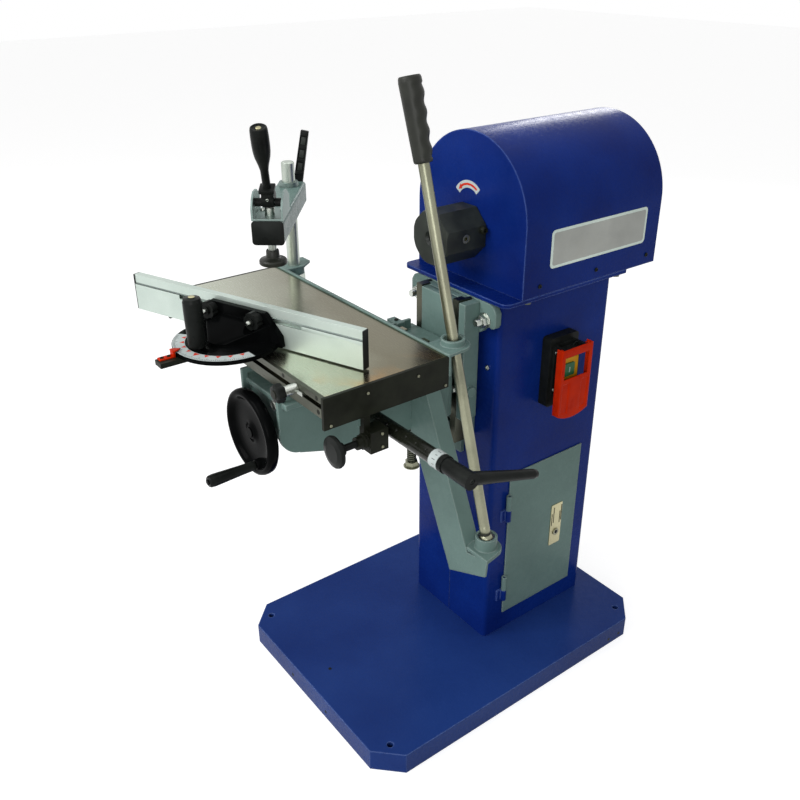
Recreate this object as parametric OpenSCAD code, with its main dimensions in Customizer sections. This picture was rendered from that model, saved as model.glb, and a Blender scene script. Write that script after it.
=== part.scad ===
// Horizontal slot mortiser on a sheet-steel pedestal, millimetres.
// X runs to the operator's right, Y from the cutter to the back, Z up.
// The origin is on the floor in the middle of the four floor bolts.

/* [Base] */
// Width of the floor tray
base_w = 450; // [420:1:520]
// Depth of the floor tray
base_d = 610; // [580:1:700]
// Height of the tray rim
base_h = 40; // [30:1:60]
// Length cut off each corner
base_cut = 42; // [25:1:60]
// Sheet thickness of the tray
base_t = 4; // [3:0.5:6]
// Distance of a floor bolt from the two sides
bolt_inset = 33; // [30:1:50]
// Floor bolt hole diameter
bolt_d = 11; // [9:0.5:14]

/* [Column] */
// Column width
col_w = 200; // [190:1:220]
// Column depth
col_d = 250; // [230:1:270]
// Front face of the column
col_front = 12; // [12:1:16]
// Top of the column
col_top = 703; // [703:1:706]
// Column sheet thickness
col_t = 3; // [2:0.5:4]
// Door width
door_w = 174; // [150:1:180]
// Door height
door_h = 302; // [280:1:320]

/* [Head] */
// Width of the head cover
head_w = 250; // [244:1:260]
// Length of the head cover
head_len = 311; // [300:1:330]
// Front face of the head cover
head_front = 32; // [32:1:36]
// Height of the spindle above the floor
spindle_z = 790; // [788:1:796]
// Distance across the flats of the chuck
chuck_af = 80; // [70:1:84]
// Length of the chuck
chuck_len = 76; // [70:0.5:78]
// Cutter shank diameter
shank_d = 16; // [10:0.5:20]

/* [Table] */
// Table length
table_len = 478; // [470:1:490]
// Table depth
table_d = 200; // [200:1:208]
// Height of the table top as drawn
table_z = 680; // [679:0.5:682]
// Position of the table's right end as drawn
table_right = 162; // [158:1:166]
// Position of the table's back edge as drawn
table_back = -140; // [-142:1:-139]

/* [Feed lever] */
// Lever rod diameter
rod_d = 16; // [12:1:17]
// Lever length from the ball to the top of the grip
lever_len = 674; // [640:1:700]
// Grip length
grip_len = 112; // [100:1:125]

/* [Handwheel] */
// Handwheel diameter
wheel_d = 130; // [120:1:134]
// Crank grip length
crank_len = 72; // [60:1:76]

/* [Clamp] */
// Clamp post diameter
post_d = 22; // [18:1:24]
// Clamp arm reach from the post
arm_reach = 208; // [190:1:215]
// Clamp arm width
arm_w = 48; // [44:1:50]

/* [Fence] */
// Fence length
fence_len = 421; // [390:1:430]
// Fence height
fence_h = 56; // [54:1:62]
// Fence angle to the table as drawn
fence_deg = 21; // [19:0.5:23]

/* [Hidden] */
$fn = 48;
gap = 0.3;
base_top = base_h;
cx = col_w / 2;
col_back = col_front + col_d;
door_y = 54;
door_z = 80;
door_t = 2.2;
hinge_x = cx + 5.6;
hinge_y = 51;
hinge_r = 5;
pin_r = 2.5;
hinge_zs = [[115, 138, 167], [290, 313, 342]];
lock_y = 178;
lock_z = 211;
plate_t = 6;
head_z = col_top + plate_t;
head_r = head_w / 2;
spring_z = 940 - head_r;
cover_t = 2.5;
cover_edge = 8;
motor_y = 78;
motor_end = 262;
shaft_r = 12;
chuck_front = head_front - 1.5 - chuck_len;
key_y = -8;
key_z = spindle_z + 1.5;
sw_y = 141.5;
sw_x = cx + 18;
paddle_z = 607;
paddle_x = cx + 40;
stud_x = 80;
stud_z = 672;
bar_in = 38;
bar_out = 52;
knee_y = -16;
shelf_z = 628;
plate_x = 50;
wheel_z = 568;
screw_y = -80;
screw_r = 8;
bevel_in = 11;
bevel_out = 18;
nut_z = 445;
table_x0 = table_right - table_len;
table_y0 = table_back - table_d;
top_t = 8;
apron_t = 5;
apron_z = table_z - 46;
saddle_z = 646;
saddle_t = 7;
way_x = 28;
way_ys = [table_y0 + 40, table_back - 44];
rail_y = table_y0 - 6;
slot_z = table_z - 12.5;
index_y = -235;
index_z = 597;
index_x = 160;
row_degs = [38, 125, 159];
row_steps = [21, 18, 16];
ring_x = 250;
ball = [209.4, -98, 381];
ring = [135, -111, 690];
lever_dx = ring[0] - ball[0];
lever_dy = ring[1] - ball[1];
lever_dz = ring[2] - ball[2];
lean_x = -atan(lever_dy / lever_dz);
lean_y = atan(lever_dx / norm([lever_dy, lever_dz]));
ball_r = 11;
post = [-297, -113];
arm_deg = -39.4;
arm_z = 785;
arm_h = 36;
lock_q = 6.5;
cam_p = arm_reach - 24;
cam_z = arm_z + arm_h + 22;
cam_e = 6;
cam_r = 13;
rod_r = 7.5;
rod_hole = rod_r + 0.08;
pad_z = 747.5;
pivot = [-56, -366];
face_v = 33;
fence_z = table_z + 2.2;
bar_top = fence_z + 3.8;
fence_t = 12;
fence_right = 209;
groove_z = fence_z + 38;
knob_us = [-47.5, 35];
handle_v = 45;
stop_x = 97.5;
stop_z = slot_z + 3.5;

blue = [0.11, 0.17, 0.45];
grey = [0.39, 0.49, 0.48];
dark = [0.14, 0.14, 0.13];
steel = [0.66, 0.66, 0.62];
zinc = [0.78, 0.79, 0.76];
brass = [0.83, 0.79, 0.62];

// A box between two corners
module block(lo, hi) {
    translate(lo) cube(hi - lo);
}

// A cylinder along Y from y0 to y1
module rod_y(r, y0, y1, x = 0, z = 0) {
    translate([x, y0, z]) rotate([-90, 0, 0]) cylinder(h = y1 - y0, r = r);
}

// A cylinder along X from x0 to x1
module rod_x(r, x0, x1, y = 0, z = 0) {
    translate([x0, y, z]) rotate([0, 90, 0]) cylinder(h = x1 - x0, r = r);
}

// A Y-Z outline extruded along X
module plate_x(x0, t) {
    translate([x0, 0, 0]) rotate([90, 0, 90]) linear_extrude(t) children();
}

// An X-Z outline extruded towards the back from y0
module plate_y(y0, t) {
    translate([0, y0 + t, 0]) rotate([90, 0, 0]) linear_extrude(t) children();
}

// A rectangle with rounded corners between two corners
module soft_rect(lo, hi, r) {
    translate([lo[0] + r, lo[1]]) square([hi[0] - lo[0] - 2 * r, hi[1] - lo[1]]);
    translate([lo[0], lo[1] + r]) square([hi[0] - lo[0], hi[1] - lo[1] - 2 * r]);
    for (x = [lo[0] + r, hi[0] - r], y = [lo[1] + r, hi[1] - r]) translate([x, y]) circle(r);
}

// A grip knob with rounded lobes, axis along Z from 0 to h
module lobed_knob(r, lobes, h) {
    linear_extrude(h) difference() {
        circle(r);
        for (i = [0 : lobes - 1])
            rotate(360 / lobes * i) translate([r * 1.12, 0]) circle(r * 0.26, $fn = 16);
    }
}

// Floor tray
module tray_outline(inset) {
    w = base_w / 2 - inset;
    d = base_d / 2 - inset;
    c = base_cut - inset * 0.586;
    polygon([
        [-w, c - d], [c - w, -d], [w - c, -d], [w, c - d],
        [w, d - c], [w - c, d], [c - w, d], [-w, d - c]
    ]);
}

module floor_bolts() {
    for (x = [-1, 1], y = [-1, 1])
        translate([x * (base_w / 2 - bolt_inset), y * (base_d / 2 - bolt_inset - 1), 0]) children();
}

module base_tray() {
    color(blue) difference() {
        union() {
            difference() {
                linear_extrude(base_h) tray_outline(0);
                translate([0, 0, -1]) linear_extrude(base_h - base_t + 1) tray_outline(base_t);
            }
            floor_bolts() cylinder(h = base_h - 1, r = 16);
            for (x = [-70, 70])
                block([x - 3, 20 - base_d / 2, 12], [x + 3, base_d / 2 - 20, base_h - 1]);
        }
        floor_bolts() translate([0, 0, -1]) cylinder(h = base_h + 2, d = bolt_d);
    }
}

// Column with its door opening and the fixed halves of the hinges
module column() {
    opening_y = door_y + 6;
    opening_w = door_w - 12;
    color(blue) {
        difference() {
            translate([0, 0, base_top]) linear_extrude(col_top - base_top)
                soft_rect([-cx, col_front], [cx, col_back], 8);
            translate([0, 0, base_top + 4]) linear_extrude(col_top - base_top - 8)
                soft_rect([col_t - cx, col_front + col_t], [cx - col_t, col_back - col_t], 5);
            translate([0, 0, base_top - 1]) linear_extrude(col_top)
                soft_rect([26 - cx, col_front + 26], [cx - 26, col_back - 26], 12);
            block([cx - 6, opening_y, door_z + 6], [cx + 1, opening_y + opening_w, door_z + door_h - 6]);
            rod_y(8.2, col_back - 6, col_back + 1, -60, 150);
        }
        for (h = hinge_zs) {
            translate([hinge_x, hinge_y, h[0]]) cylinder(h = h[1] - h[0] - gap, r = hinge_r);
            translate([hinge_x, hinge_y, h[0]]) cylinder(h = h[2] - h[0] - 2, r = pin_r);
            block([cx - 0.5, hinge_y - 13, h[0]], [cx + 2.6, hinge_y, h[1] - gap]);
        }
    }
}

module cable_gland() {
    color(dark) difference() {
        union() {
            rod_y(8, col_back - 10, col_back + 10, -60, 150);
            translate([-60, col_back, 150]) rotate([-90, 0, 0]) cylinder(h = 6, r = 13, $fn = 6);
            translate([-60, col_back - 8, 150]) rotate([-90, 0, 0]) cylinder(h = 4.9, r = 12, $fn = 6);
            translate([-60, col_back + 10, 150]) rotate([-90, 0, 0]) cylinder(h = 9, r1 = 11, r2 = 8);
        }
        rod_y(4.5, col_back - 11, col_back + 20, -60, 150);
    }
}

// Door panel with a turned-in rim and its hinge knuckles
module door() {
    y1 = door_y + door_w;
    z1 = door_z + door_h;
    color(grey) difference() {
        union() {
            block([cx + 0.4, door_y, door_z], [cx + 0.4 + door_t, y1, z1]);
            difference() {
                block([cx - 3, door_y + 9, door_z + 9], [cx + 1, y1 - 9, z1 - 9]);
                block([cx - 4, door_y + 11, door_z + 11], [cx + 2, y1 - 11, z1 - 11]);
            }
            for (h = hinge_zs) {
                translate([hinge_x, hinge_y, h[1]]) cylinder(h = h[2] - h[1], r = hinge_r);
                block([cx + 0.4, hinge_y, h[1]], [cx + 3, door_y + 4, h[2]]);
            }
        }
        for (h = hinge_zs) translate([hinge_x, hinge_y, 0]) {
            translate([0, 0, h[0] - 1]) cylinder(h = h[1] - h[0] + 1, r = hinge_r + 0.6);
            translate([0, 0, h[1] - 1]) cylinder(h = h[2] - h[1] + 2, r = pin_r + 0.1);
        }
        rod_x(7, cx - 1, cx + 5, lock_y, lock_z);
    }
}

module lock_plate() {
    x0 = cx + 0.4 + door_t;
    color(brass) plate_x(x0, 1.5) difference() {
        soft_rect([lock_y - 15, lock_z - 27], [lock_y + 13, lock_z + 62], 2);
        translate([lock_y, lock_z]) circle(7);
    }
}

module door_lock() {
    color(steel) {
        difference() {
            rod_x(6.92, cx - 9.5, cx + 6, lock_y, lock_z);
            block([cx + 4, lock_y - 0.8, lock_z - 4], [cx + 7, lock_y + 0.8, lock_z + 4]);
        }
        plate_x(cx - 8.5, 3) hull() {
            translate([lock_y, lock_z]) circle(9);
            translate([lock_y, lock_z + 46]) circle(7);
        }
    }
}

// Head: plate on the column, sheet cover, motor and spindle
module head_plate() {
    color(blue) translate([0, 0, col_top]) linear_extrude(plate_t) difference() {
        union() {
            soft_rect([-head_r, -1.5], [head_r, 200], 14);
            soft_rect([-head_r, 100], [head_r, 271], 6);
        }
        head_bolt_places() circle(4.3);
    }
}

module head_bolt_places() {
    for (x = [-112, 112], y = [54, 256]) translate([x, y]) children();
}

module head_bolts() {
    color(zinc) head_bolt_places() {
        translate([0, 0, col_top - 6]) cylinder(h = 6, r = 7.5, $fn = 6);
        translate([0, 0, col_top - 1]) cylinder(h = plate_t + 8, r = 4);
        translate([0, 0, head_z]) cylinder(h = 5, r = 7.5, $fn = 6);
    }
}

module cover_outline(inset) {
    r = head_r - inset;
    translate([-r, head_z + inset]) square([2 * r, spring_z - head_z - inset]);
    intersection() {
        translate([0, spring_z]) circle(r, $fn = 96);
        translate([-r, spring_z - 1]) square([2 * r, r + 2]);
    }
}

// Wedges that bevel the cover's rear edges
module cover_bevel() {
    back = head_front + head_len;
    c = cover_edge + 1;
    translate([0, back, spring_z]) rotate([90, 0, 0]) rotate_extrude(angle = 180, $fn = 96)
        polygon([[head_r - c, -1], [head_r + 1, -1], [head_r + 1, c]]);
    for (s = [-1, 1]) translate([0, 0, head_z - 1]) linear_extrude(spring_z - head_z + 1)
        polygon([[s * (head_r - c), back + 1], [s * (head_r + 1), back + 1], [s * (head_r + 1), back - c]]);
    plate_x(-head_r - 1, head_w + 2)
        polygon([[back + 1, head_z + c], [back + 1, head_z - 1], [back - c, head_z - 1]]);
}

module head_cover() {
    wall_x = head_r - cover_t;
    inset = cover_edge + 3;
    color(blue) difference() {
        plate_y(head_front, head_len) cover_outline(0);
        plate_y(head_front + cover_t, head_len - cover_t - inset) cover_outline(cover_t);
        plate_y(head_front + head_len - inset - 1, inset + 1 - cover_t) cover_outline(inset);
        cover_bevel();
        block([-wall_x, head_front + cover_t, head_z - 1], [wall_x, col_back + 6, head_z + 4]);
        rod_y(34, head_front - 1, head_front + 5, 0, spindle_z);
    }
}

module motor_housing() {
    color(grey) difference() {
        union() {
            rod_y(64, motor_y + 14, motor_end, 0, spindle_z);
            rod_y(56, motor_y, motor_end + 36, 0, spindle_z);
            for (a = [-135 : 15 : 135]) translate([0, 0, spindle_z]) rotate([0, a, 0])
                block([-1.5, motor_y + 22, 60], [1.5, motor_end - 10, 72]);
            for (x = [-1, 1]) {
                block([x * 46 - 22, motor_y + 40, head_z], [x * 46 + 22, motor_end - 40, head_z + 9]);
                block([x * 40 - 6, motor_y + 50, head_z], [x * 40 + 6, motor_end - 50, spindle_z - 40]);
            }
        }
        rod_y(shaft_r + 0.6, motor_y - 1, motor_end + 40, 0, spindle_z);
        rod_y(44, motor_y + 26, motor_end - 20, 0, spindle_z);
        rod_y(23.5, motor_y - 1, motor_y + 16, 0, spindle_z);
        rod_y(23.5, motor_end + 20, motor_end + 37, 0, spindle_z);
    }
}

module spindle_bearings() {
    color(zinc) for (y = [motor_y + 1, motor_end + 21]) difference() {
        rod_y(23.5, y, y + 14, 0, spindle_z);
        rod_y(shaft_r + 0.05, y - 1, y + 15, 0, spindle_z);
        rod_y(19.5, y - 1, y + 1.5, 0, spindle_z);
        rod_y(19.5, y + 12.5, y + 15, 0, spindle_z);
    }
}

module spindle_shaft() {
    color(steel) {
        rod_y(shaft_r, chuck_front + 52.5, motor_end + 38, 0, spindle_z);
        rod_y(40, motor_y + 34, motor_end - 28, 0, spindle_z);
    }
}

module chuck_body() {
    back = chuck_front + chuck_len;
    corner = chuck_af / 2 / cos(22.5);
    color(dark) difference() {
        intersection() {
            translate([0, chuck_front, spindle_z]) rotate([-90, 22.5, 0])
                cylinder(h = chuck_len, r = corner, $fn = 8);
            translate([0, chuck_front - 1, spindle_z]) rotate([-90, 0, 0])
                cylinder(h = chuck_len + 2, r1 = corner - 3.5, r2 = corner - 1.5 + chuck_len);
        }
        rod_y(shank_d / 2 + 0.25, chuck_front - 1, chuck_front + 52, 0, spindle_z);
        translate([0, chuck_front - 0.01, spindle_z]) rotate([-90, 0, 0])
            cylinder(h = 4, r1 = shank_d / 2 + 4, r2 = shank_d / 2 + 0.25);
        rod_y(shaft_r + 0.03, chuck_front + 51, back + 1, 0, spindle_z);
        rod_x(7, 12, chuck_af, key_y, key_z);
    }
}

module chuck_screw() {
    color(zinc) difference() {
        rod_x(6.9, 13, chuck_af / 2 - 1, key_y, key_z);
        rod_x(3.5, chuck_af / 2 - 9, chuck_af / 2, key_y, key_z, $fn = 6);
    }
}

// Switch on the column's right face
module switch_box() {
    color(dark) difference() {
        plate_x(cx, 18) soft_rect([sw_y - 32.5, 500], [sw_y + 32.5, 623], 6);
        block([cx + 3, sw_y - 20, 530], [cx + 19, sw_y + 20, 606]);
    }
}

module switch_module() {
    color(dark) difference() {
        union() {
            plate_x(cx + 3, 31) soft_rect([sw_y - 19.5, 530.5], [sw_y + 19.5, 605.5], 3);
            plate_x(sw_x, 4) soft_rect([sw_y - 26, 524], [sw_y + 26, 612], 4);
            for (y = [sw_y - 22.5, sw_y + 22.5]) block([sw_x, y - 3, 603], [paddle_x + 4, y + 3, 611]);
        }
        block([sw_x + 5, sw_y - 17.3, 559.7], [sw_x + 30, sw_y + 6.3, 582.3]);
        rod_y(2.6, sw_y - 40, sw_y + 40, paddle_x, paddle_z);
    }
}

module start_button() {
    color([0.1, 0.5, 0.25]) plate_x(sw_x + 8.5, 12) soft_rect([sw_y - 17, 560], [sw_y + 6, 582], 2);
}

// Red stop paddle, a shallow cap hung on a pin along its upper edge
module paddle_outline(inset, top) {
    intersection() {
        translate([sw_y - 35 + inset, 485]) square([70 - 2 * inset, top - 485]);
        translate([sw_y, 564]) circle(75 - inset, $fn = 72);
    }
}

module stop_paddle() {
    color([0.78, 0.15, 0.06]) {
        difference() {
            plate_x(paddle_x - 5, 13.5) paddle_outline(0, 613.5);
            plate_x(paddle_x - 6, 12.1) paddle_outline(3, 620);
            block([paddle_x + 4, sw_y - 27.5, 560.5], [paddle_x + 20, sw_y + 24.5, 599.3]);
        }
        for (y = [sw_y - 29.5, sw_y + 29.5]) block([paddle_x - 5, y - 3, 601], [paddle_x + 7, y + 3, 613]);
        rod_y(2.5, sw_y - 32, sw_y + 32, paddle_x, paddle_z);
    }
}

// Fixed vertical guide hung on the column's front
module guide_hanger() {
    color(grey) plate_y(col_front - 12, 12) difference() {
        polygon([
            [-98, 701], [98, 701], [106, 690], [106, 644], [52, 640], [50, 660],
            [-50, 660], [-52, 640], [-106, 644], [-106, 690]
        ]);
        for (s = [-1, 1]) {
            translate([s * stud_x, stud_z]) circle(6.6);
            translate([s * stud_x - 6.6, 600]) square([13.2, stud_z - 600]);
        }
    }
}

module hanger_studs() {
    color(zinc) for (s = [-1, 1]) {
        rod_y(5.9, col_front - 38, col_front, s * stud_x, stud_z);
        rod_y(12.5, col_front - 14.5, col_front - 12, s * stud_x, stud_z);
        rod_y(10.4, col_front - 24.5, col_front - 14.5, s * stud_x, stud_z, $fn = 6);
    }
}

module guide_plate() {
    front = col_front - 12;
    color(grey) difference() {
        union() {
            block([-bar_out, front - 3, 455], [bar_out + 2, front, 699]);
            block([-bar_out, front - 0.1, 455], [bar_out, col_front, 639]);
            block([bar_out + 1, front - 30, 500], [bar_out + 15, front, 699]);
            rod_x(8, bar_out + 14, bar_out + 22, front - 16, 550);
        }
        block([-29, front - 5, 450], [29, col_front + 1, nut_z + 25]);
    }
}

module guide_bars() {
    front = col_front - 12;
    color(dark) for (s = [0, 1]) mirror([s, 0, 0]) translate([0, 0, 452]) linear_extrude(250) polygon([
        [bar_in, front - 30], [bar_out, front - 30], [bar_out, front - 3.1], [bar_in + 8.6, front - 3.1],
        [bar_in + 8.6, front - 12.6], [bar_in, front - 12.6]
    ]);
}

module lift_nut() {
    color(dark) difference() {
        union() {
            translate([0, screw_y, nut_z]) cylinder(h = 25, r = 16);
            block([-8, screw_y, nut_z + 2], [8, col_front - 6, nut_z + 23]);
            block([-28, col_front - 8, nut_z - 35], [28, col_front, nut_z + 24]);
        }
        translate([0, screw_y, nut_z - 1]) cylinder(h = 27, r = screw_r + 0.1);
    }
}

// Knee: carriage in the guide, shelf and side plates
module knee_carriage() {
    front = col_front - 12;
    color(grey) difference() {
        union() {
            block([gap - bar_in, knee_y, 520], [bar_in - gap, front - 4.5, 700]);
            block([-bar_in - 8.2, front - 12.2, 520], [bar_in + 8.2, front - 4.5, 700]);
        }
        block([-21, knee_y - 1, 519], [21, front, 575]);
    }
}

module knee_side() {
    difference() {
        union() {
            polygon([[-352, 590], [-321, 541], [-230, 514], [-45, 508], [-45, 644], [-352, 644]]);
            translate([-316, 578]) circle(36.5);
        }
        translate([-343, 616]) square([32, 20]);
    }
}

module knee_frame() {
    color(grey) difference() {
        union() {
            translate([0, 0, shelf_z - 8]) linear_extrude(8) polygon([
                [-63, -345], [63, -345], [63, -31], [bar_in - 1, -31], [bar_in - 1, knee_y],
                [1 - bar_in, knee_y], [1 - bar_in, -31], [-63, -31]
            ]);
            for (x = [-plate_x - 2.5, plate_x - 2.5]) plate_x(x, 5) knee_side();
            for (y = [-340, -118]) {
                block([-plate_x, y, 556], [plate_x, y + 8, shelf_z - 4]);
                rod_y(16, y, y + 16, 0, wheel_z);
            }
            block([-plate_x, -45, 508], [plate_x, -38, shelf_z - 2]);
            for (s = [-1, 1]) block([s * 31 - 5, -39, 525], [s * 31 + 5, knee_y, shelf_z - 2]);
            block([-72, -75, shelf_z - 1], [-44, -60, shelf_z + 16]);
        }
        rod_y(screw_r + 0.06, -360, -95, 0, wheel_z);
        translate([0, screw_y, shelf_z - 20]) cylinder(h = 40, r = screw_r + 0.06);
        block([-21, -50, 500], [21, -30, 590]);
    }
}

// Folded bracket that carries the lever's ball cup
module lever_bracket() {
    y0 = -122;
    fold = [[76, 618], [193, 356]];
    dir = (fold[1] - fold[0]) / norm(fold[1] - fold[0]);
    color(grey) difference() {
        union() {
            plate_y(y0, 4) polygon([
                [plate_x + 2.5, 618], fold[0], fold[1], [238, 366],
                [235, 335], [154, 299], [74, 466], [plate_x + 2.5, 503]
            ]);
            plate_y(y0, 27) polygon([
                fold[0], fold[1], fold[1] - [dir[1], -dir[0]] * -4, fold[0] - [dir[1], -dir[0]] * -4
            ]);
            translate([0, 0, 361]) linear_extrude(6) hull() {
                translate([192, y0]) square([46, 4]);
                translate([ball[0], ball[1]]) circle(24);
            }
            translate([ball[0], ball[1], 362]) cylinder(h = 25, r = 17);
        }
        translate(ball) sphere(r = 13.6);
        translate([ball[0], ball[1], ball[2] + 3]) cylinder(h = 12, r = 13.4);
    }
}

// Slideways under the saddle, along Y; the play makes the matching groove
module dovetail(h, half, play = 0) {
    w = half + play;
    polygon([[-w, -play], [w, -play], [w + 3, h + play], [-w - 3, h + play]]);
}

module depth_ways() {
    color(dark) for (s = [-1, 1]) translate([s * way_x, -72, shelf_z]) rotate([90, 0, 0])
        linear_extrude(190) dovetail(14, 4);
}

// Handwheel with its shaft and bevel pinion
module handwheel() {
    r = wheel_d / 2;
    color(dark) {
        translate([0, -356, wheel_z]) rotate([90, 0, 0]) difference() {
            rotate_extrude($fn = 72) polygon([
                [6, 0], [22, 0], [24, 5], [r - 16, 9], [r - 12, 3.5], [r - 3, 3.5], [r, 7], [r, 17],
                [r - 4, 21], [r - 10, 21], [r - 15, 17], [r - 18, 13], [24, 10.5], [20, 15], [6, 15]
            ]);
            translate([0, 0, -1]) cylinder(h = 40, r = screw_r + 0.02);
        }
        translate([18, -366, wheel_z - 44]) rotate([90, 0, 0]) cylinder(h = crank_len + 14, r = 4);
        translate([18, -362, wheel_z - 44]) rotate([90, 0, 0]) cylinder(h = 15, r = 8);
    }
}

module handwheel_shaft() {
    color(steel) {
        rod_y(screw_r, -373, screw_y - 9, 0, wheel_z);
        translate([0, screw_y - bevel_out, wheel_z]) rotate([-90, 0, 0])
            cylinder(h = bevel_out - bevel_in, r1 = bevel_out - 0.6, r2 = bevel_in - 0.6);
    }
}

module crank_grip() {
    color(dark) translate([18, -378.3, wheel_z - 44]) rotate([90, 0, 0]) rotate_extrude() polygon([
        [4.1, 0], [6.4, 0], [7, 3], [7.4, 20], [8.8, crank_len - 20],
        [9.3, crank_len - 8], [8.6, crank_len - 2], [7, crank_len], [4.1, crank_len]
    ]);
}

module lift_screw() {
    color(steel) {
        translate([0, screw_y, 401]) cylinder(h = shelf_z - 401, r = screw_r);
        translate([0, screw_y, wheel_z + bevel_in])
            cylinder(h = bevel_out - bevel_in, r1 = bevel_in - 0.6, r2 = bevel_out - 0.6);
        translate([0, screw_y, wheel_z + bevel_out - 0.01]) cylinder(h = 5, r = 13);
        translate([0, screw_y, 401]) cylinder(h = 3, r = 14);
        translate([0, screw_y, 404]) cylinder(h = 8, r = 12, $fn = 6);
    }
}

// Saddle: slides along Y on the knee and carries the table
module saddle() {
    y0 = table_y0 + 20;
    y1 = table_back - 5;
    color(grey) difference() {
        union() {
            block([-115, y0, saddle_z], [115, y1, saddle_z + saddle_t]);
            for (x = [-way_x, way_x])
                block([x - 13, y0 + 85, shelf_z + 1], [x + 13, y1 + 45, saddle_z + 1]);
            block([96, index_y - 17, index_z - 17], [108, index_y + 17, saddle_z + 1]);
        }
        for (s = [-1, 1]) translate([s * way_x, -60, shelf_z]) rotate([90, 0, 0])
            linear_extrude(300) dovetail(14, 4, gap);
        rod_x(11.1, 90, 120, index_y, index_z);
    }
}

module cross_ways() {
    color(dark) for (y = way_ys) translate([-150, y, saddle_z + saddle_t]) rotate([90, 0, 90])
        linear_extrude(265) dovetail(12, 5);
}

// Indexing bar with three rows of dimples and its turning lever
module index_bar() {
    color(dark) difference() {
        union() {
            rod_x(11, 72, ring_x, index_y, index_z);
            rod_x(8, ring_x - 1, ring_x + 70, index_y, index_z);
            rod_x(13.5, 84, 95.5, index_y, index_z);
        }
        for (row = [0 : 2], i = [0 : 6]) translate([113.5 + i * row_steps[row], index_y, index_z])
            rotate([row_degs[row], 0, 0]) translate([0, 0, 9])
                cylinder(h = 4, r1 = 0.6, r2 = 3.4, $fn = 16);
    }
}

module index_ring() {
    color([0.85, 0.86, 0.84]) difference() {
        rod_x(12.6, ring_x + 0.2, ring_x + 16, index_y, index_z);
        rod_x(8.05, ring_x - 1, ring_x + 20, index_y, index_z);
    }
}

module index_lever() {
    hub = ring_x + 62;
    color(dark) difference() {
        union() {
            rod_x(12.4, ring_x + 16.5, ring_x + 24, index_y, index_z);
            translate([ring_x + 23, index_y, index_z]) rotate([0, 90, 0])
                cylinder(h = 50, r1 = 11, r2 = 12);
            translate([hub + 2, index_y, index_z]) rotate([-108, 0, 0]) rotate_extrude()
                polygon([[0, 4], [9.5, 4], [8, 60], [6.8, 122], [5.6, 128], [3.2, 131], [0, 132]]);
        }
        rod_x(8.05, ring_x, hub + 8.5, index_y, index_z);
        rod_x(4, hub, hub + 20, index_y, index_z, $fn = 6);
    }
}

// Table and the pieces fixed to it
module table_top() {
    under = table_z - top_t;
    way_top = saddle_z + saddle_t;
    y0 = table_y0;
    color(steel) difference() {
        union() {
            block([table_x0 + apron_t, y0, under], [table_right - apron_t, table_back, table_z]);
            block([table_x0 + apron_t, y0, table_z - 30], [table_right - apron_t, y0 + 15, under + 1]);
            for (y = way_ys)
                block([table_x0 + 20, y - 16, way_top + 1], [table_right - 20, y + 16, under + 1]);
        }
        for (y = way_ys) translate([table_x0, y, way_top]) rotate([90, 0, 90])
            linear_extrude(table_len) dovetail(12, 5, gap);
        block([table_x0 - 1, y0 - 1, slot_z - 8], [table_right + 1, y0 + 9, slot_z + 8]);
    }
}

module table_aprons() {
    color(dark) for (x = [table_x0, table_right - apron_t])
        block([x, table_y0 - 6, apron_z], [x + apron_t, table_back, table_z]);
}

module back_strip() {
    y1 = table_back + 4;
    color(grey) difference() {
        union() {
            block([table_x0, table_back, table_z - 30], [table_right, y1, table_z + 3]);
            translate([0, 0, table_z - 1]) linear_extrude(4) {
                hull() {
                    translate([112, y1 - 1]) square([50, 1]);
                    translate([ring[0], ring[1]]) circle(25);
                }
                polygon([
                    [post[0] - 25, y1 - 1], [post[0] + 18, y1 - 1], [post[0] + 18, post[1] + 9],
                    [post[0], post[1] + 33], [post[0] - 25, post[1] + 33]
                ]);
            }
            translate([ring[0], ring[1], table_z]) cylinder(h = 12, r = 17.5);
            translate([post[0], post[1], table_z - 12]) cylinder(h = 12, r = 18);
        }
        translate([ring[0], ring[1], table_z - 5]) cylinder(h = 40, r = 13.4);
        translate([post[0], post[1], table_z - 30]) cylinder(h = 60, r = post_d / 2 + 0.02);
    }
}

module front_rails() {
    color(steel) for (z = [[slot_z + 3.5, table_z], [table_z - 30, slot_z - 3.5]])
        block([table_x0 + apron_t, rail_y, z[0]], [table_right - apron_t, table_y0, z[1]]);
}

// Spring plunger that drops into the indexing bar
module index_block() {
    color(dark) difference() {
        union() {
            block([index_x - 13, index_y - 47, index_z - 16], [index_x + 13, index_y - 18, index_z + 16]);
            block([index_x - 6, index_y - 50, index_z - 4], [index_x + 2, index_y - 40, apron_z]);
            rod_y(9, index_y - 62, index_y - 46, index_x, index_z);
        }
        rod_y(5.1, index_y - 70, index_y, index_x, index_z);
    }
}

module index_plunger() {
    color(dark) {
        rod_y(5, index_y - 84, index_y - 16, index_x, index_z);
        translate([index_x, index_y - 16.01, index_z]) rotate([-90, 0, 0]) cylinder(h = 3, r1 = 5, r2 = 2);
        translate([index_x, index_y - 83, index_z]) rotate([90, 0, 0]) rotate_extrude() polygon([
            [0, 0], [9, 0], [10, 6], [15, 9], [22, 10], [23, 13], [22, 16], [14, 18], [0, 18]
        ]);
    }
}

// Clamp: post, arm that slides and swings on it, cam and pad
module clamp_post() {
    color(zinc) translate([post[0], post[1], 0]) {
        translate([0, 0, 646]) cylinder(h = 214, d = post_d);
        translate([0, 0, 859.99]) cylinder(h = 2, r1 = post_d / 2, r2 = post_d / 2 - 2);
        translate([0, 0, table_z - 26]) cylinder(h = 13.9, r = 19, $fn = 6);
    }
}

module arm_place() {
    translate([post[0], post[1], 0]) rotate(arm_deg) children();
}

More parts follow.
